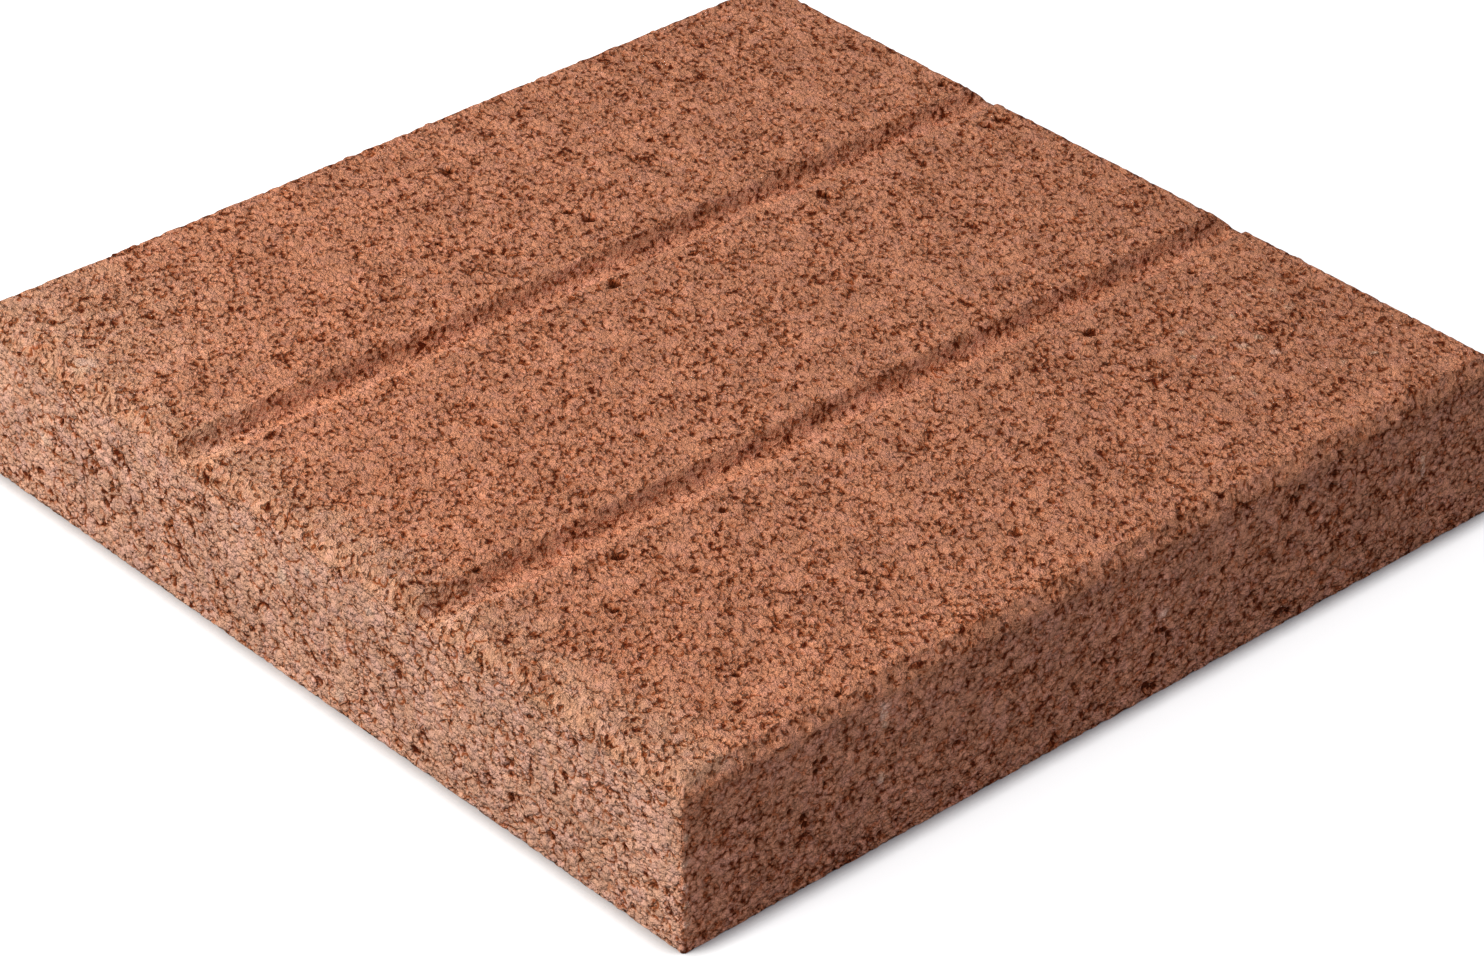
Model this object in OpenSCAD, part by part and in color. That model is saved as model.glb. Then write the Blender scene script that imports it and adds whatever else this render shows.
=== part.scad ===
// Square concrete paving stone, cast in one piece, lying on its bed face.
// Its walking face has a sloped edge all round and straight joint grooves that run along X.
// The origin is at the middle of the bed face. Sizes are in millimetres.

/* [Stone] */
// Length of each side of the square
stone_side = 298; // [240:1:400]
// Thickness from the bed face to the walking face
stone_thick = 50.8; // [40:0.1:80]
// Radius of the four upright corners
corner_r = 1.5; // [0.5:0.1:6]

/* [Sloped edge] */
// Width of the sloped edge, measured across the walking face
edge_w = 4; // [1:0.1:8]
// Drop of the sloped edge, measured down the side
edge_drop = 4; // [1:0.1:8]

/* [Joint grooves] */
// Number of grooves
groove_count = 2; // [1:1:3]
// Distance between the middles of two neighbouring grooves
groove_pitch = 100; // [60:0.5:115]
// Width of a groove at the walking face
groove_mouth_w = 12.4; // [8:0.1:20]
// Width of a groove's flat floor
groove_floor_w = 5; // [2:0.1:8]
// Depth of a groove
groove_depth = 4.5; // [2:0.1:12]

/* [Hidden] */
// Overrun of every cut past the faces that it opens
cut_over = 2;
// Horizontal run of a groove's wall for each millimetre of its depth
wall_run = (groove_mouth_w - groove_floor_w) / 2 / groove_depth;
// Fall of the sloped edge for each millimetre of its width
edge_fall = edge_drop / edge_w;
// Smoothness of the upright corners
$fn = 64;

// Outline of the stone seen from above: a square with round corners
module stone_outline() {
    inner = stone_side - 2 * corner_r;
    square([stone_side, inner], center = true);
    square([inner, stone_side], center = true);
    for (x = [-1, 1], y = [-1, 1])
        translate([x * inner / 2, y * inner / 2])
            circle(r = corner_r);
}

// Section of one groove, with its mouth on the X axis and its walls carried on above it
module groove_section() {
    half_floor = groove_floor_w / 2;
    half_top = groove_mouth_w / 2 + wall_run * cut_over;
    polygon([
        [-half_top, cut_over],
        [-half_floor, -groove_depth],
        [half_floor, -groove_depth],
        [half_top, cut_over]
    ]);
}

// Section of what a sloped edge takes away, with the sharp edge of the square at the origin
module edge_section() {
    polygon([
        [-edge_w - cut_over / edge_fall, cut_over],
        [cut_over, -edge_drop - cut_over * edge_fall],
        [cut_over, cut_over]
    ]);
}

// A section drawn across the stone, run straight along X past both of its sides
module along_x() {
    rotate([90, 0, 90])
        linear_extrude(stone_side + 2 * cut_over, center = true)
            children();
}

// The cuts of all the joint grooves, spread evenly about the middle of the stone
module joint_grooves() {
    first_y = -(groove_count - 1) * groove_pitch / 2;
    for (i = [0 : groove_count - 1])
        translate([0, first_y + i * groove_pitch, stone_thick])
            along_x() groove_section();
}

// The cuts of the sloped edge, one along each side, which meet in mitres at the corners
module sloped_edges() {
    for (turn = [0 : 90 : 270])
        rotate(turn)
            translate([0, stone_side / 2, stone_thick])
                along_x() edge_section();
}

// The whole stone
module paving_stone() {
    color("#a86f57")
        difference() {
            linear_extrude(stone_thick) stone_outline();
            joint_grooves();
            sloped_edges();
        }
}

paving_stone();
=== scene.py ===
import math

import bpy
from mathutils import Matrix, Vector


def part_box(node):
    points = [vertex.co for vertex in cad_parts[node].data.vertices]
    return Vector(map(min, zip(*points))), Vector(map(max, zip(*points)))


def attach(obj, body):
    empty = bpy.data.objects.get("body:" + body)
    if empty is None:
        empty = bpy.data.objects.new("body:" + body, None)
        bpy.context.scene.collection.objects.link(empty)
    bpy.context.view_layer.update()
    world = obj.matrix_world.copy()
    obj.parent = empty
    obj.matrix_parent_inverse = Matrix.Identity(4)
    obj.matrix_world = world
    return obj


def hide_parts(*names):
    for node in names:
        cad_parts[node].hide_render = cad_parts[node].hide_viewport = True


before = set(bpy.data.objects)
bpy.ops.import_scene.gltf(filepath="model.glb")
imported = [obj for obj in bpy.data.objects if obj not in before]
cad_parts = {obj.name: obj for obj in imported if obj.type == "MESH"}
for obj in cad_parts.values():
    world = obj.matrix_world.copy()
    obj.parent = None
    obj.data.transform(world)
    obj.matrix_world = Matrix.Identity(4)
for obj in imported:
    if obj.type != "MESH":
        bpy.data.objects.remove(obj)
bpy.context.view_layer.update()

scene = bpy.context.scene
scene.view_settings.view_transform = "Standard"

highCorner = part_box("paving_stone")[1]
halfSide = highCorner[0] * 1000.0       # relief and material are worked out in millimetres
thick = highCorner[2] * 1000.0


# small helpers for node trees, the same for geometry nodes and materials

def feed(tree, socket, value):
    if isinstance(value, bpy.types.NodeSocket):
        tree.links.new(value, socket)
    else:
        socket.default_value = value


def addNode(tree, kind, inputs=None, **settings):
    node = tree.nodes.new(kind)
    for name, value in settings.items():
        setattr(node, name, value)
    for name, value in (inputs or {}).items():
        if value is not None:
            feed(tree, node.inputs[name], value)
    return node


def sums(tree, operation, a, b=None, c=None, clamp=False):
    node = addNode(tree, "ShaderNodeMath", {0: a, 1: b, 2: c}, operation=operation, use_clamp=clamp)
    return node.outputs[0]


def vectorSums(tree, operation, a, b=None, c=None, scale=None, output=0):
    node = addNode(tree, "ShaderNodeVectorMath", {0: a, 1: b, 2: c, "Scale": scale}, operation=operation)
    return node.outputs[output]


def split(tree, vector):
    return addNode(tree, "ShaderNodeSeparateXYZ", {0: vector}).outputs


def ramp(tree, value, low, high, toLow=0.0, toHigh=1.0, smooth=True):
    kind = "SMOOTHSTEP" if smooth else "LINEAR"
    node = addNode(tree, "ShaderNodeMapRange", {
        "Value": value, "From Min": low, "From Max": high, "To Min": toLow, "To Max": toHigh,
    }, interpolation_type=kind)
    return node.outputs[0]


def band(tree, value, rise, full, fade, gone):
    return sums(tree, "MULTIPLY", ramp(tree, value, rise, full), ramp(tree, value, gone, fade))


def weighed(tree, fields, shares, total=None):
    # adds up the named fields, each times its share
    for name, share in shares.items():
        if total is None:
            total = sums(tree, "MULTIPLY", fields[name], share)
        else:
            total = sums(tree, "MULTIPLY_ADD", fields[name], share, total)
    return total


def noise(tree, place, size, detail=2.0, rough=0.5, output=0):
    node = addNode(tree, "ShaderNodeTexNoise", {
        "Vector": place, "Scale": 1.0 / size, "Detail": detail, "Roughness": rough,
    }, noise_dimensions="3D")
    return node.outputs[output]


def cells(tree, place, size):
    return addNode(tree, "ShaderNodeTexVoronoi", {"Vector": place, "Scale": 1.0 / size},
                   voronoi_dimensions="3D", feature="F1")


def shaken(tree, place, size, far):
    push = vectorSums(tree, "SUBTRACT", noise(tree, place, size, 1.0, 0.5, "Color"), (0.5, 0.5, 0.5))
    return vectorSums(tree, "MULTIPLY_ADD", push, (far, far, far), place)


# camera

cameraSet = {
    "azimuth": -42.23,      # degrees, round from the -Y side
    "elevation": 33.03,
    "roll": 0.36,
    "distance": 1.4047,     # from the middle of the bed face
    "aside": 0.0034,
    "up": 0.0011,
    "lens": 122.2,          # mm, on a 36 mm wide sensor
    "sensor": 36.0,
}


def makeCamera(s):
    a = math.radians(s["azimuth"])
    e = math.radians(s["elevation"])
    r = math.radians(s["roll"])
    back = Vector((math.sin(a) * math.cos(e), -math.cos(a) * math.cos(e), math.sin(e)))
    flatRight = Vector((math.cos(a), math.sin(a), 0.0))
    flatUp = back.cross(flatRight)
    right = flatRight * math.cos(r) + flatUp * math.sin(r)
    up = flatUp * math.cos(r) - flatRight * math.sin(r)
    lens = bpy.data.cameras.new("camera")
    lens.lens = s["lens"]
    lens.sensor_width = s["sensor"]
    camera = bpy.data.objects.new("camera", lens)
    scene.collection.objects.link(camera)
    matrix = camera.matrix_world.to_3x3()
    matrix.col[0], matrix.col[1], matrix.col[2] = right, up, back
    camera.matrix_world = matrix.to_4x4()
    camera.location = back * s["distance"] + right * s["aside"] + up * s["up"]
    scene.camera = camera
    print("camera placed at", [round(v, 3) for v in camera.location])


makeCamera(cameraSet)


# studio

studio = {
    "floorHalf": 4.0,
    "floorColour": (0.40, 0.40, 0.40, 1.0),     # for light that bounces
    "floorLit": (0.60, 0.60, 0.60, 1.0),        # what the camera sees of the light on the floor
    "floorGlow": 0.74,                          # and of plain white
    "contact": 0.0085,                          # reach of the painted contact shadow under the stone, metres
    "contactOpen": (0.55, 0.90),                # how open the floor is where that painted shadow ends
    "skyStrength": 0.575,
    "skyColour": (0.98, 0.99, 1.06, 1.0),
    "white": (1.0, 1.0, 1.0, 1.0),
    "keyColour": (1.0, 0.985, 0.93),
    "keyFrom": (-0.77, 0.295, 0.566),
    "keyAway": 1.6,
    "keyAcross": 0.9,
    "keyPower": 20.6,
}


def seenStraight(tree):
    path = addNode(tree, "ShaderNodeLightPath")
    seen = sums(tree, "MAXIMUM", path.outputs["Is Camera Ray"], path.outputs["Is Glossy Ray"])
    return sums(tree, "MAXIMUM", seen, path.outputs["Is Transmission Ray"])


def blend(tree, share, first, second):
    return addNode(tree, "ShaderNodeMixShader", {0: share, 1: first.outputs[0], 2: second.outputs[0]})


def makeFloor(s):
    h = s["floorHalf"]
    mesh = bpy.data.meshes.new("floor")
    mesh.from_pydata([(-h, -h, 0), (h, -h, 0), (h, h, 0), (-h, h, 0)], [], [(0, 1, 2, 3)])
    floor = bpy.data.objects.new("floor", mesh)
    scene.collection.objects.link(floor)
    paint = bpy.data.materials.new("floorPaint")
    paint.use_nodes = True
    tree = paint.node_tree
    tree.nodes.clear()
    plain = addNode(tree, "ShaderNodeBsdfDiffuse", {"Color": s["floorColour"]})
    lit = addNode(tree, "ShaderNodeBsdfDiffuse", {"Color": s["floorLit"]})
    # painted contact shadow: occlusion near the stone dims the white glow
    near = addNode(tree, "ShaderNodeAmbientOcclusion", {"Distance": s["contact"]}, samples=8)
    shine = ramp(tree, near.outputs["AO"], *s["contactOpen"], 0.0, s["floorGlow"], smooth=False)
    glow = addNode(tree, "ShaderNodeEmission", {"Color": s["white"], "Strength": shine})
    shown = addNode(tree, "ShaderNodeAddShader", {0: lit.outputs[0], 1: glow.outputs[0]})
    mix = blend(tree, seenStraight(tree), plain, shown)
    out = addNode(tree, "ShaderNodeOutputMaterial")
    tree.links.new(mix.outputs[0], out.inputs[0])
    mesh.materials.append(paint)


def makeSky(s):
    world = bpy.data.worlds.new("studio")
    scene.world = world
    world.use_nodes = True
    tree = world.node_tree
    tree.nodes.clear()
    sky = addNode(tree, "ShaderNodeBackground", {"Color": s["skyColour"], "Strength": s["skyStrength"]})
    white = addNode(tree, "ShaderNodeBackground", {"Color": s["white"], "Strength": 1.0})
    mix = blend(tree, seenStraight(tree), sky, white)
    out = addNode(tree, "ShaderNodeOutputWorld")
    tree.links.new(mix.outputs[0], out.inputs[0])


def makeKey(s):
    lamp = bpy.data.lights.new("softbox", "AREA")
    lamp.shape = "SQUARE"
    lamp.size = s["keyAcross"]
    lamp.energy = s["keyPower"]
    lamp.color = s["keyColour"]
    key = bpy.data.objects.new("softbox", lamp)
    scene.collection.objects.link(key)
    way = Vector(s["keyFrom"]).normalized()
    key.location = way * s["keyAway"]
    key.rotation_euler = way.to_track_quat("Z", "Y").to_euler()


makeFloor(studio)
makeSky(studio)
makeKey(studio)
print("studio set up")


# relief of the cast face, all in millimetres

relief = {
    "voxel": 0.0006,            # of the fine mesh that is carved, metres
    "triangles": 195000,        # left after thinning
    "stirSize": 2.4,            # stir that makes round shapes uneven, and how far it pushes
    "stirFar": 1.8,
    "pebbleSize": 5.5,
    "pebbleReach": (0.10, 0.50),
    "clumpSize": 3.4,
    "voidSize": 16.0,
    "markStirSize": 2.0,        # the same stir for the marks that are placed one by one
    "markStirFar": 2.2,
    "pitDeep": 0.9,             # share of a placed pit's radius
    # where things are, mostly as the places between which one gives way to the next
    "grooveAt": 50.0,
    "grooveHalf": 6.2,
    "lipWide": 3.0,             # the smooth, slightly rounded lip in front of each groove
    "topAt": (44.0, 45.5),      # just under the floors of the grooves
    "lipAt": (2.0, 1.0),        # below the walking face
    "leftAt": (-143.0, -148.5),
    "bedAt": (1.0, 0.2),
    # the pale left side, and the corner of the walking face beside it
    "paleRagged": 50.0,
    "paleSide": (-120.0, -146.0),
    "paleFront": (-149.0, -146.5),
    "paleCorner": (80.0, 5.0),
    "paleAlong": 0.84,
    # the joint grooves and the bed are pressed smoother than the rest
    "grooveCalm": 0.6,
    "bedCalm": 0.9,
    # how deep each kind of relief goes, first what the pressing calms, then what it doesn't
    "deep": {
        "pebble": -0.20, "crevice": 0.55, "level": 0.20, "rim": 0.22, "swell": 0.15, "worn": 0.6,
    },
    "deepOver": {
        "void": 1.3, "placedPit": 1.0, "raised": -0.20, "ring": 0.7, "lipRound": 0.25, "chips": 0.25,
    },
    # sizes of the slow changes from place to place
    "size": {
        "open": 9.0, "loose": 4.0, "pressed": 6.5, "broad": 22.0, "patch": 16.0, "pink": 3.2,
        "ragged": 9.0, "crevice": 3.6, "ring": 4.0, "swell": 30.0, "worn": 5.0, "chips": 3.0,
    },
    # how open the grain lies
    "slack": {
        "loose": 0.8, "open": 0.5, "pressed": -0.25, "pebble": -0.10, "groove": -0.06,
        "smoothed": -0.25, "lip": -0.20, "wall": 0.08, "broad": 0.04,
    },
    # how light a patch is: it falls off to the right and the front, rises on lips and groove floors as
    # painted light, and drops on the far groove walls as painted shade
    "light": {
        "y": 0.0020, "x": -0.0020, "frontStrip": 0.35, "paintedLipHighlight": 1.0, "floor": 1.4, "wall": -0.3,
    },
    "stripAt": (-110.0, -138.0),    # the lighter strip along the front of the walking face
    "lipHighlight": 0.7,                # painted light on a lip at its middle, and how it changes along X
    "lipHighlightX": -0.014,
}

# marks that are seen one by one: where they lie on their face, then their radius
marks = {
    "topPits": [
        (-7, 40, 2.0), (20, 38, 1.3), (70, 38, 1.8), (57, 54, 1.2), (-2, 120, 2.0), (9, 79, 1.5),
        (11, 72, 2.0), (54, 95, 1.3), (59, 94, 1.2), (-137, 71, 1.5), (-105, 50, 1.3), (-123, 53, 1.1),
        (139, 36, 1.5), (133, 36, 1.5), (141, 63, 1.5), (-37, -48, 1.5), (-6, -49, 1.2),
        (-126, -44, 1.2), (-53, -23, 1.6), (-61, -65, 1.3), (-112, -81, 1.3), (-95, -63, 2.0),
        (73, -66, 1.8), (87, -66, 1.2), (60, -71, 1.2), (14, -67, 1.2), (117, -62, 1.0),
        (-12, -123, 1.5), (26, -146, 1.5), (41, -146, 1.2), (-94, -145, 1.3), (-85, -81, 1.2),
        (-53, -110, 1.5), (-108, -122, 1.2),
    ],
    "frontPits": [
        (-105, 36.5, 1.1), (-102.5, 35.8, 1.2), (-105, 33.5, 1.0), (-109, 22, 1.0), (-108.5, 19, 1.1),
        (-108, 16, 1.2), (-79, 23, 1.1), (-21, 3.5, 1.3), (-23, 11, 1.0), (-4, 19, 1.4), (-56, 19, 1.1),
        (-41, 47, 1.1), (-41.5, 44, 1.2), (-77, 5, 1.2), (-83, 3.5, 1.2), (-124, 22.5, 1.1),
        (-114, 26, 1.0), (16, 20, 1.2), (18.5, 19, 1.2), (20.5, 17, 1.1), (15, 13, 1.2), (14, 10.5, 1.1),
        (13, 4, 1.5), (15.5, 2.5, 1.4), (52, 15, 1.0), (54, 12.5, 1.1), (56, 10, 1.0), (64, 4.5, 1.4),
        (67, 3, 1.3), (66, 39.5, 1.2), (69.5, 41.5, 1.3), (68.5, 38, 1.2), (84, 46, 1.2), (84.5, 43, 1.1),
        (82.5, 40, 1.2), (81.5, 37, 1.1), (98, 45, 1.1), (73, 33, 1.2), (66, 26, 1.0), (40, 28.5, 1.2),
        (14, 45, 1.1),
    ],
    "leftPits": [
        (93.5, 29, 1.2), (93, 26.5, 1.3), (93.5, 24, 1.1), (82, 35.5, 1.2), (79, 34.5, 1.3),
        (76.5, 32.5, 1.1), (88, 16, 1.4), (107, 33, 1.3), (115, 6, 1.4), (119, 11, 1.1),
        (57.5, 24.5, 1.2), (75, 19, 1.2), (58, 5, 1.3), (40.5, 46.5, 1.3), (-83, 22, 1.3),
        (-83.5, 11, 1.5), (-99, 8, 1.3), (-39, 25.5, 1.1), (-5, 5.5, 1.3), (-45.5, 5, 1.3),
        (-138, 15, 1.4), (-127, 20, 1.2), (-16, 45, 1.1), (-108, 42, 1.3),
    ],
    "topPale": [
        (-143, 102, 3.5), (85, -108, 1.0), (84.5, -94, 1.0), (84, -99, 0.9), (83, -118, 0.9),
        (99, -99, 1.7), (105, -98.5, 1.5), (91, -83, 1.2), (103, -107, 1.2), (123, -93, 1.1),
        (127, -84, 0.9), (120, -81, 1.0), (96, -90, 1.2), (108, -86, 1.0), (113, -123, 1.0),
        (123, -125, 1.0),
    ],
    "frontPale": [
        (-83, 43, 1.4), (-82.5, 40, 1.6), (-82.5, 37, 1.4), (-83, 21, 1.3), (118, 30.5, 1.2),
        (118.5, 27.5, 1.3), (118.5, 24.5, 1.2), (18, 25, 1.3), (-148, 9, 1.2), (-148, 14, 1.3),
        (-148, 20, 1.2), (-148, 27, 1.3), (-148, 35, 1.2),
    ],
    "leftPale": [
        (8.5, 32, 2.2), (-2.5, 39, 1.6), (-28, 39.5, 1.4), (115, 23, 1.8), (28, 38, 1.2), (-14, 6, 1.6),
    ],
    "leftPebbles": [
        (87.5, 23, 3.4), (88.5, 30, 2.6), (78.5, 23, 2.3), (83, 17, 2.2), (51, 25, 3.2),
        (57.5, 19.5, 2.6), (60.5, 12, 2.2), (67, 9, 2.0), (74, 9, 2.0), (105, 23, 2.4), (100, 18, 2.2),
        (16.5, 14.5, 3.4), (25.5, 21.5, 2.2), (-70, 46, 2.6), (-112, 41, 2.0), (-130, 16, 2.0),
        (110, 18, 2.0), (92, 9, 2.2),
    ],
    "topSmooth": [
        (-135, -100, 6), (71, -119, 5), (-30, 20, 5), (-88, 8, 5), (35, -15, 6), (105, 85, 5),
        (-60, 100, 6),
    ],
}


def placed(s, kind):
    spots = [(a, b, thick, reach) for a, b, reach in s.get("top" + kind, [])]
    spots += [(a, -halfSide, b, reach) for a, b, reach in s.get("front" + kind, [])]
    spots += [(-halfSide, a, b, reach) for a, b, reach in s.get("left" + kind, [])]
    return spots


def zones(tree, place, s):
    x, y, z = split(tree, place)
    along = sums(tree, "ABSOLUTE", y)
    sideX = sums(tree, "SUBTRACT", halfSide, sums(tree, "ABSOLUTE", x))
    sideY = sums(tree, "SUBTRACT", halfSide, along)
    faceZ = sums(tree, "MINIMUM", sums(tree, "SUBTRACT", thick, z), z)
    nearest = sums(tree, "MINIMUM", sideX, sideY)
    second = sums(tree, "MAXIMUM", sideX, sideY)
    offGroove = sums(tree, "ABSOLUTE", sums(tree, "SUBTRACT", along, s["grooveAt"]))
    onTop = ramp(tree, z, *s["topAt"])
    # the lip that the light falls on, and the wall across from it that lies in shade
    lips = []
    walls = []
    for middle in (-s["grooveAt"], s["grooveAt"]):
        near = middle - s["grooveHalf"]
        far = middle + s["grooveHalf"]
        lips.append(band(tree, y, near - s["lipWide"], near - 0.3, near + 0.5, near + 1.2))
        walls.append(band(tree, y, far - 6.0, far - 4.0, far - 0.2, far + 0.8))
    onLip = ramp(tree, z, thick - s["lipAt"][0], thick - s["lipAt"][1])
    return {
        "x": x, "y": y, "z": z,
        "arris": sums(tree, "MAXIMUM", nearest, sums(tree, "MINIMUM", second, faceZ)),
        "groove": sums(tree, "MULTIPLY", ramp(tree, offGroove, 8.5, 6.0), onTop),
        "floor": sums(tree, "MULTIPLY", ramp(tree, offGroove, 4.5, 2.5), onTop),
        "lip": sums(tree, "MULTIPLY", sums(tree, "MAXIMUM", *lips), onLip),
        "wall": sums(tree, "MULTIPLY", sums(tree, "MAXIMUM", *walls), onTop),
        "bed": ramp(tree, z, *s["bedAt"]),
        "left": ramp(tree, x, *s["leftAt"]),
    }


def carve(tree, place, s):
    made = zones(tree, place, s)
    moved = shaken(tree, place, s["stirSize"], s["stirFar"])
    # round stones of the mix, some with a crevice along a part of their rim
    pebble = cells(tree, moved, s["pebbleSize"])
    chance = split(tree, pebble.outputs["Color"])
    size = ramp(tree, chance[0], 0.2, 1.0, *s["pebbleReach"], smooth=False)
    past = sums(tree, "SUBTRACT", pebble.outputs["Distance"], size)
    made["pebble"] = ramp(tree, past, 0.02, -0.12)
    ring = band(tree, past, -0.06, 0.02, 0.05, 0.13)
    broken = noise(tree, place, s["size"]["crevice"], 1.0, 0.5)
    broken = sums(tree, "MULTIPLY_ADD", made["left"], 0.12, broken)     # more of them on the left
    made["crevice"] = sums(tree, "MULTIPLY", ring, ramp(tree, broken, 0.50, 0.62))
    # clumps of sand that stand a little higher or lower than the next
    clump = cells(tree, moved, s["clumpSize"])
    made["level"] = split(tree, clump.outputs["Color"])[0]
    made["rim"] = ramp(tree, clump.outputs["Distance"], 0.40, 0.85)
    # a few deep voids
    hole = cells(tree, moved, s["voidSize"])
    reach = ramp(tree, split(tree, hole.outputs["Color"])[1], 0.60, 1.0, -0.03, 0.09, smooth=False)
    made["void"] = ramp(tree, sums(tree, "SUBTRACT", hole.outputs["Distance"], reach), 0.02, -0.04)
    return made


def paleSide(tree, place, made, s):
    ragged = noise(tree, place, s["size"]["ragged"], 3.0, 0.6)
    ragged = sums(tree, "MULTIPLY_ADD", ragged, s["paleRagged"], -s["paleRagged"] / 2.0)
    side = ramp(tree, sums(tree, "ADD", made["x"], ragged), *s["paleSide"])
    side = sums(tree, "MULTIPLY", side, ramp(tree, made["y"], *s["paleFront"]))
    middle = (-halfSide, s["paleAlong"] * halfSide, thick)
    corner = vectorSums(tree, "DISTANCE", place, middle, output="Value")
    corner = ramp(tree, sums(tree, "ADD", corner, ragged), *s["paleCorner"])
    return sums(tree, "MAXIMUM", side, corner)


def slowFields(tree, place, made, s):
    size = s["size"]
    made["open"] = noise(tree, place, size["open"], 3.0, 0.55)
    made["loose"] = noise(tree, place, size["loose"], 3.0, 0.6)
    made["pressed"] = ramp(tree, noise(tree, place, size["pressed"], 2.0, 0.5), 0.54, 0.66)
    made["broad"] = ramp(tree, noise(tree, place, size["broad"], 2.0, 0.5), 0.38, 0.62)
    made["smoothed"] = sums(tree, "MAXIMUM", made["smooth"], made["pale"])
    made["frontStrip"] = ramp(tree, made["y"], *s["stripAt"])
    # painted highlight on the groove lips, stronger towards the left
    lipHighlight = sums(tree, "MULTIPLY_ADD", made["x"], s["lipHighlightX"], s["lipHighlight"])
    made["paintedLipHighlight"] = sums(tree, "MULTIPLY", made["lip"], lipHighlight)
    slack = weighed(tree, made, s["slack"])
    patch = ramp(tree, noise(tree, place, size["patch"], 4.0, 0.6), 0.36, 0.60)
    # painted light on lips and groove floors and painted shade on far groove walls join the patch
    patch = weighed(tree, made, s["light"], patch)
    pink = ramp(tree, noise(tree, place, size["pink"], 2.0, 0.5), 0.45, 0.65)
    return {
        "castZone": (slack, paleSide(tree, place, made, s), patch),
        "castTint": (pink, made["pit"], made["pale"]),
    }


def spotCloud(name, spots):
    mesh = bpy.data.meshes.new(name)
    mesh.from_pydata([spot[:3] for spot in spots], [], [])
    reach = mesh.attributes.new("reach", "FLOAT", "POINT")
    for item, spot in zip(reach.data, spots):
        item.value = spot[3]
    cloud = bpy.data.objects.new(name, mesh)
    scene.collection.objects.link(cloud)
    return cloud


def nearSpot(tree, place, cloud):
    # distance from the nearest spot as a share of its radius, and that radius
    points = addNode(tree, "GeometryNodeObjectInfo", {"Object": cloud}).outputs["Geometry"]
    radius = addNode(tree, "GeometryNodeInputNamedAttribute", {"Name": "reach"}, data_type="FLOAT")
    middle = addNode(tree, "GeometryNodeInputPosition")
    nearest = addNode(tree, "GeometryNodeSampleNearest", {"Geometry": points, "Sample Position": place})
    reach = addNode(tree, "GeometryNodeSampleIndex", {
        "Geometry": points, "Value": radius.outputs[0], "Index": nearest.outputs[0],
    }).outputs[0]
    spot = addNode(tree, "GeometryNodeSampleIndex", {
        "Geometry": points, "Value": middle.outputs[0], "Index": nearest.outputs[0],
    }, data_type="FLOAT_VECTOR").outputs[0]
    away = vectorSums(tree, "DISTANCE", place, spot, output="Value")
    return sums(tree, "DIVIDE", away, reach), reach


def placedMarks(tree, place, made, clouds, s):
    uneven = shaken(tree, place, s["markStirSize"], s["markStirFar"])
    pit, pitReach = nearSpot(tree, uneven, clouds["Pits"])
    pale = nearSpot(tree, uneven, clouds["Pale"])[0]
    smooth = nearSpot(tree, uneven, clouds["Smooth"])[0]
    pebble = nearSpot(tree, uneven, clouds["Pebbles"])[0]
    pit = ramp(tree, pit, 1.5, 0.6)
    # a placed pebble is a smooth disc with a crevice along most of its rim
    disc = ramp(tree, pebble, 1.1, 0.8)
    ring = band(tree, pebble, 0.9, 1.1, 1.2, 1.6)
    broken = noise(tree, place, s["size"]["ring"], 1.0, 0.5)
    ring = sums(tree, "MULTIPLY", ring, ramp(tree, broken, 0.40, 0.55))
    made["ring"] = ring
    made["pit"] = sums(tree, "MAXIMUM", sums(tree, "MAXIMUM", pit, made["void"]), ring)
    made["placedPit"] = sums(tree, "MULTIPLY", pit, sums(tree, "MULTIPLY", pitReach, s["pitDeep"]))
    made["pale"] = ramp(tree, pale, 1.2, 0.8)
    made["smooth"] = sums(tree, "MAXIMUM", ramp(tree, smooth, 1.2, 0.6), disc)
    made["raised"] = sums(tree, "MAXIMUM", made["pale"], disc)


def reliefDepth(tree, place, made, s):
    made["swell"] = noise(tree, place, s["size"]["swell"], 2.0, 0.5)
    # worn edges all round, and chips along the foot
    crumbling = ramp(tree, noise(tree, place, s["size"]["worn"], 2.0, 0.6), 0.42, 0.75)
    made["worn"] = sums(tree, "MULTIPLY", ramp(tree, made["arris"], 4.5, 1.0), crumbling)
    chipped = ramp(tree, noise(tree, place, s["size"]["chips"], 2.0, 0.6), 0.42, 0.66)
    foot = sums(tree, "MULTIPLY", ramp(tree, made["z"], 3.5, 0.0), ramp(tree, made["arris"], 4.0, 0.5))
    made["chips"] = sums(tree, "MULTIPLY", foot, chipped)
    made["lipRound"] = sums(tree, "MULTIPLY", made["lip"], made["lip"])
    inGroove = sums(tree, "MAXIMUM", made["groove"], made["lip"])
    calm = sums(tree, "MULTIPLY_ADD", inGroove, -s["grooveCalm"], 1.0)
    calm = sums(tree, "MULTIPLY", calm, sums(tree, "MULTIPLY_ADD", made["bed"], -s["bedCalm"], 1.0))
    depth = sums(tree, "MULTIPLY", weighed(tree, made, s["deep"]), calm)
    return weighed(tree, made, s["deepOver"], depth)


def storeField(tree, geometry, name, value):
    return addNode(tree, "GeometryNodeStoreNamedAttribute", {
        "Geometry": geometry, "Name": name, "Value": value,
    }, data_type="FLOAT_VECTOR", domain="POINT").outputs[0]


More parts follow.
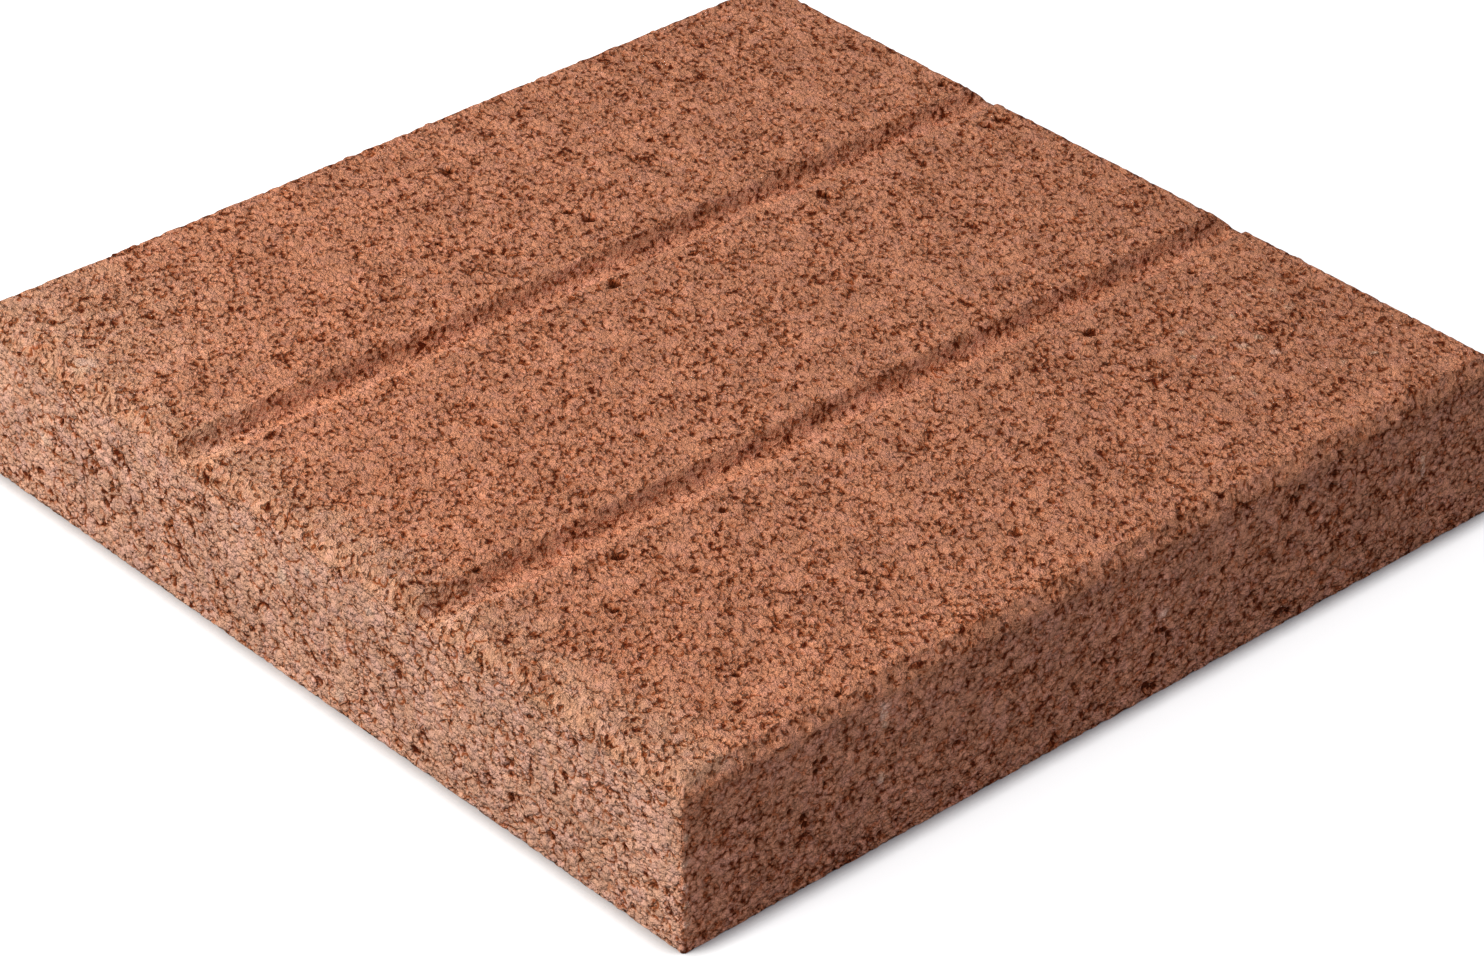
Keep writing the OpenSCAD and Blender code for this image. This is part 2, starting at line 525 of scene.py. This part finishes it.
def reliefNodes(s, clouds):
    tree = bpy.data.node_groups.new("castRelief", "GeometryNodeTree")
    tree.interface.new_socket("Geometry", in_out="INPUT", socket_type="NodeSocketGeometry")
    tree.interface.new_socket("Geometry", in_out="OUTPUT", socket_type="NodeSocketGeometry")
    start = addNode(tree, "NodeGroupInput")
    position = addNode(tree, "GeometryNodeInputPosition").outputs[0]
    place = vectorSums(tree, "SCALE", position, scale=1000.0)
    made = carve(tree, place, s)
    placedMarks(tree, place, made, clouds, s)
    depth = reliefDepth(tree, place, made, s)
    # what the material needs to know of a place before it is moved
    keep = storeField(tree, start.outputs[0], "mouldPlace", place)
    for name, parts in slowFields(tree, place, made, s).items():
        value = addNode(tree, "ShaderNodeCombineXYZ", {0: parts[0], 1: parts[1], 2: parts[2]}).outputs[0]
        keep = storeField(tree, keep, name, value)
    normal = addNode(tree, "GeometryNodeInputNormal").outputs[0]
    offset = vectorSums(tree, "SCALE", normal, scale=sums(tree, "MULTIPLY", depth, -0.001))
    move = addNode(tree, "GeometryNodeSetPosition", {"Geometry": keep, "Offset": offset})
    end = addNode(tree, "NodeGroupOutput")
    tree.links.new(move.outputs[0], end.inputs[0])
    return tree


def finalMesh(piece, name):
    graph = bpy.context.evaluated_depsgraph_get()
    mesh = bpy.data.meshes.new_from_object(piece.evaluated_get(graph))
    mesh.name = name
    old = piece.data
    piece.modifiers.clear()
    piece.data = mesh
    bpy.data.meshes.remove(old)


def triangles(piece):
    return sum(len(p.vertices) - 2 for p in piece.data.polygons)


def makeStone(s, m):
    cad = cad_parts["paving_stone"]
    stone = bpy.data.objects.new("castStone", cad.data.copy())
    scene.collection.objects.link(stone)
    stone.data.materials.clear()
    fine = stone.modifiers.new("fine", "REMESH")
    fine.mode = "VOXEL"
    fine.voxel_size = s["voxel"]
    cast = stone.modifiers.new("cast", "NODES")
    kinds = ("Pits", "Pale", "Smooth", "Pebbles")
    clouds = {kind: spotCloud("spots" + kind, placed(m, kind)) for kind in kinds}
    cast.node_group = reliefNodes(s, clouds)
    finalMesh(stone, "castStone")
    for cloud in clouds.values():
        bpy.data.objects.remove(cloud)
    count = triangles(stone)
    print("carved mesh has", count, "triangles")
    thin = stone.modifiers.new("thin", "DECIMATE")
    thin.ratio = s["triangles"] / count
    finalMesh(stone, "castStone")
    for p in stone.data.polygons:
        p.use_smooth = True
    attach(stone, "root")
    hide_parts("paving_stone")
    print("stone has", triangles(stone), "triangles")
    return stone


stone = makeStone(relief, marks)


# red concrete

concrete = {
    # colour from the open face of a grain to the bottom of a pit, darkening towards the bottom as painted
    # shade
    "shades": [
        (0.00, (0.735, 0.306, 0.165)),
        (0.35, (0.605, 0.207, 0.096)),
        (0.65, (0.375, 0.091, 0.029)),
        (1.00, (0.105, 0.014, 0.003)),
    ],
    # tints that the shades are multiplied by
    "pink": (1.02, 1.05, 1.22, 1.0),
    # painted light: the sides are made lighter and bluer, as under the sky alone
    "paintedSideLight": (1.14, 1.17, 1.27, 1.0),
    "tan": (1.0, 1.22, 1.34, 1.0),          # the pale left side, with the corner beside it
    "leftTint": (0.79, 0.815, 0.83, 1.0),   # the left side alone
    "pale": (1.15, 1.55, 1.80, 1.0),        # pale specks
    "paleLeft": 0.45,                       # they stand out less on the left
    "bleach": 0.6,                          # share of the tan that the hollows lose
    "patchAt": (-1.0, 4.0),                 # light and dark patches: random, plus painted light on lips and groove floors and painted shade on far groove walls
    "patchLight": (0.80, 1.57),
    "speck": 0.25,
    "grainTint": 0.12,
    "roughness": 0.95,
    "gloss": 0.05,
    # grains, sizes in mm
    "shakeSize": 1.0,
    "shake": 0.6,
    "bigSize": 2.8,
    "bigReach": (0.40, 0.70),
    "bigHigh": 0.70,
    "smallSize": 1.4,
    "smallReach": (0.50, 0.86),
    "smallHigh": 1.0,
    "fineSize": 0.45,
    "fineHigh": 0.65,
    "fineTop": 0.6,                         # the same on the walking face
    "struck": (0.67, 0.74, 0.0),            # the grain is drawn out this way
    "drawn": 1.3,
    "walkingAt": (44.0, 46.5),              # heights between which the walking face begins
    "pressed": 0.45,                        # how far its grains are levelled, and to what height
    "pressedAt": 0.62,
    # hollows between the grains, darkened as painted shade
    "openness": 1.12,                       # how open the grain is
    "hollowAt": (0.07, 0.97),               # how deep a place lies before painted shade darkens it
    "hollowShade": 0.75,
    "creviceShade": 0.7,
    "pebbleCalm": 0.2,                      # whole pebbles show as smooth discs
    "pebbleCalmLeft": 0.4,
    # gaps where a grain is missing, darkened as painted shade, with a darker painted core
    "gapSize": 1.6,
    "gapLift": 0.08,
    "gapSlack": 0.4,
    "gapAt": (-0.25, -0.11),
    "gapShade": 0.42,
    "gapDeep": 1.6,
    "coreAt": (-0.13, -0.05),
    "coreShade": 0.35,
    # placed pits, darkened as painted shade
    "pitMore": 0.20,                        # how much closer the gaps lie there
    "pitRough": 1.4,
    "pitWeight": 0.8,
    "pitAt": (0.25, 0.72),
    "pitShade": 0.92,
    # the gaps of the front and the left side are softer, and those of the left lie in clusters
    "frontCalm": 0.35,
    "leftSoft": 0.20,
    "leftCalm": 0.17,                       # how much closer its grain lies
    "leftMiddle": 0.58,                     # openness that is spread to both sides, and how far
    "leftSpread": 0.55,
    # how strongly the grains are embossed
    "emboss": 2.3,
    "embossLeft": 1.25,
}


def tinted(tree, colour, tint, share):
    node = addNode(tree, "ShaderNodeMix", data_type="RGBA", blend_type="MULTIPLY")
    feed(tree, node.inputs[0], share)
    feed(tree, node.inputs[6], colour)
    feed(tree, node.inputs[7], tint)
    return node.outputs[2]


def mixed(tree, share, first, second):
    return addNode(tree, "ShaderNodeMix", {0: share, 2: first, 3: second}).outputs[0]


def field(tree, name):
    return addNode(tree, "ShaderNodeAttribute", attribute_name=name).outputs["Vector"]


def shadeRamp(tree, value, shades):
    node = addNode(tree, "ShaderNodeValToRGB", {0: value})
    stops = node.color_ramp.elements
    while len(stops) < len(shades):
        stops.new(1.0)
    for stop, (at, colour) in zip(stops, shades):
        stop.position = at
        stop.color = (*colour, 1.0)
    return node.outputs[0]


def drawnOut(tree, place, s):
    along = vectorSums(tree, "DOT_PRODUCT", place, s["struck"], output="Value")
    far = sums(tree, "MULTIPLY", along, 1.0 / s["drawn"] - 1.0)
    return vectorSums(tree, "ADD", place, vectorSums(tree, "SCALE", s["struck"], scale=far))


def grains(tree, place, size, reach, high):
    cell = cells(tree, place, size)
    chance = split(tree, cell.outputs["Color"])
    radius = ramp(tree, chance[2], 0.0, 1.0, *reach, smooth=False)
    far = sums(tree, "DIVIDE", cell.outputs["Distance"], radius)
    cap = sums(tree, "MULTIPLY_ADD", sums(tree, "MULTIPLY", far, far), -1.0, 1.0, clamp=True)
    return sums(tree, "MULTIPLY", cap, sums(tree, "MULTIPLY", radius, size * high)), chance[0]


def grainHeights(tree, at, s):
    # round grains of two sizes, too small for the mesh, under a fine roughness
    spot = shaken(tree, at["drawn"], s["shakeSize"], s["shake"])
    big, bigTint = grains(tree, spot, s["bigSize"], s["bigReach"], s["bigHigh"])
    small, smallTint = grains(tree, spot, s["smallSize"], s["smallReach"], s["smallHigh"])
    at["grainTint"] = mixed(tree, sums(tree, "GREATER_THAN", big, small), smallTint, bigTint)
    at["fine"] = sums(tree, "SUBTRACT", noise(tree, at["drawn"], s["fineSize"], 1.0, 0.6), 0.5)
    even = sums(tree, "MULTIPLY", at["top"], s["pressed"])
    lumps = mixed(tree, even, sums(tree, "MAXIMUM", big, small), s["pressedAt"])
    fineHigh = sums(tree, "MULTIPLY_ADD", at["top"], s["fineTop"] - s["fineHigh"], s["fineHigh"])
    at["high"] = sums(tree, "MULTIPLY_ADD", at["fine"], fineHigh, lumps)


def gapsBetween(tree, at, made, s):
    # how slack the grain is, with more difference from place to place on the left side
    apart = sums(tree, "SUBTRACT", at["slack"], s["leftMiddle"])
    apart = sums(tree, "MULTIPLY_ADD", apart, s["leftSpread"], -s["leftCalm"])
    slack = sums(tree, "MULTIPLY_ADD", at["leftSide"], apart, at["slack"])
    low = sums(tree, "SUBTRACT", sums(tree, "MULTIPLY", slack, s["openness"]), at["high"])
    # painted shade: the lower a place lies between the grains, the darker its colour
    hollow = ramp(tree, low, *s["hollowAt"], 0.0, s["hollowShade"], smooth=False)
    # gaps, used for the bump and for painted shade
    uneven = noise(tree, at["drawn"], s["gapSize"], 1.0, 0.5)
    gap = sums(tree, "ADD", uneven, sums(tree, "MULTIPLY", at["high"], s["gapLift"]))
    gap = sums(tree, "MULTIPLY_ADD", slack, s["gapSlack"], sums(tree, "MULTIPLY", gap, -1.0))
    gap = sums(tree, "MULTIPLY_ADD", at["pit"], s["pitMore"], gap)
    core = ramp(tree, gap, *s["coreAt"])
    at["gap"] = ramp(tree, gap, *s["gapAt"])
    front = sums(tree, "MULTIPLY", at["side"], sums(tree, "SUBTRACT", 1.0, at["left"]))
    soft = sums(tree, "MULTIPLY_ADD", front, -s["frontCalm"], 1.0)
    soft = sums(tree, "MULTIPLY_ADD", at["leftSide"], -s["leftSoft"], soft)
    # painted shade in the gaps, darker still in their cores
    dark = sums(tree, "MULTIPLY", at["gap"], s["gapShade"])
    dark = sums(tree, "MULTIPLY_ADD", core, s["coreShade"], dark)
    hollow = sums(tree, "MULTIPLY_ADD", dark, soft, hollow)
    # pebbles, crevices and placed pits: whole pebbles lose some painted shade, crevices and pits get more
    calm = sums(tree, "MULTIPLY_ADD", at["left"], s["pebbleCalmLeft"], s["pebbleCalm"])
    calm = sums(tree, "MULTIPLY", calm, made["pebble"])
    hollow = sums(tree, "MULTIPLY_ADD", sums(tree, "MULTIPLY", hollow, calm), -1.0, hollow)
    hollow = sums(tree, "MAXIMUM", hollow, sums(tree, "MULTIPLY", made["crevice"], s["creviceShade"]))
    deep = sums(tree, "MULTIPLY", at["pit"], s["pitWeight"])
    deep = sums(tree, "MULTIPLY_ADD", sums(tree, "SUBTRACT", uneven, 0.5), s["pitRough"], deep)
    at["hollow"] = sums(tree, "MAXIMUM", hollow, ramp(tree, deep, *s["pitAt"], 0.0, s["pitShade"]))


def aboutOne(tree, value, low, high, share):
    return ramp(tree, value, low, high, 1.0 - share, 1.0 + share, smooth=False)


def concreteColour(tree, at, s):
    # the shades darken with the painted shade of hollows, gaps, crevices and pits
    colour = shadeRamp(tree, at["hollow"], s["shades"])
    colour = tinted(tree, colour, s["pink"], at["pink"])
    # painted sky light on the sides
    colour = tinted(tree, colour, s["paintedSideLight"], at["side"])
    bleached = sums(tree, "MULTIPLY_ADD", at["hollow"], -s["bleach"], 1.0, clamp=True)
    colour = tinted(tree, colour, s["tan"], sums(tree, "MULTIPLY", at["left"], bleached))
    colour = tinted(tree, colour, s["leftTint"], at["leftSide"])
    plain = ramp(tree, at["left"], 0.0, 1.0, 1.0, s["paleLeft"])
    colour = tinted(tree, colour, s["pale"], sums(tree, "MULTIPLY", at["pale"], plain))
    # light: random patches and fine specks, with painted light on lips and groove floors and painted shade
    # on far groove walls
    light = ramp(tree, at["patch"], *s["patchAt"], *s["patchLight"], smooth=False)
    light = sums(tree, "MULTIPLY", light, aboutOne(tree, at["grainTint"], 0.0, 1.0, s["grainTint"]))
    light = sums(tree, "MULTIPLY", light, aboutOne(tree, at["fine"], -0.2, 0.2, s["speck"]))
    return vectorSums(tree, "SCALE", colour, scale=light)


def makeConcrete(s, r):
    paint = bpy.data.materials.new("redConcrete")
    paint.use_nodes = True
    tree = paint.node_tree
    tree.nodes.clear()
    at = {}
    place = field(tree, "mouldPlace")
    at["slack"], at["left"], at["patch"] = split(tree, field(tree, "castZone"))
    at["pink"], at["pit"], at["pale"] = split(tree, field(tree, "castTint"))
    made = carve(tree, place, r)
    at["drawn"] = drawnOut(tree, place, s)
    at["top"] = ramp(tree, made["z"], *s["walkingAt"])
    at["side"] = sums(tree, "SUBTRACT", 1.0, at["top"])
    at["leftSide"] = sums(tree, "MULTIPLY", at["left"], at["side"])
    grainHeights(tree, at, s)
    gapsBetween(tree, at, made, s)
    # fine relief
    high = sums(tree, "MULTIPLY_ADD", at["gap"], -s["gapDeep"], at["high"])
    high = sums(tree, "MULTIPLY", high, ramp(tree, at["leftSide"], 0.0, 1.0, s["emboss"], s["embossLeft"]))
    bump = addNode(tree, "ShaderNodeBump", {"Strength": 1.0, "Distance": 0.001, "Height": high})
    skin = addNode(tree, "ShaderNodeBsdfPrincipled", {
        "Base Color": concreteColour(tree, at, s), "Roughness": s["roughness"],
        "Specular IOR Level": s["gloss"], "Normal": bump.outputs[0],
    })
    out = addNode(tree, "ShaderNodeOutputMaterial")
    tree.links.new(skin.outputs[0], out.inputs[0])
    print("concrete mixed")
    return paint


stone.data.materials.append(makeConcrete(concrete, relief))
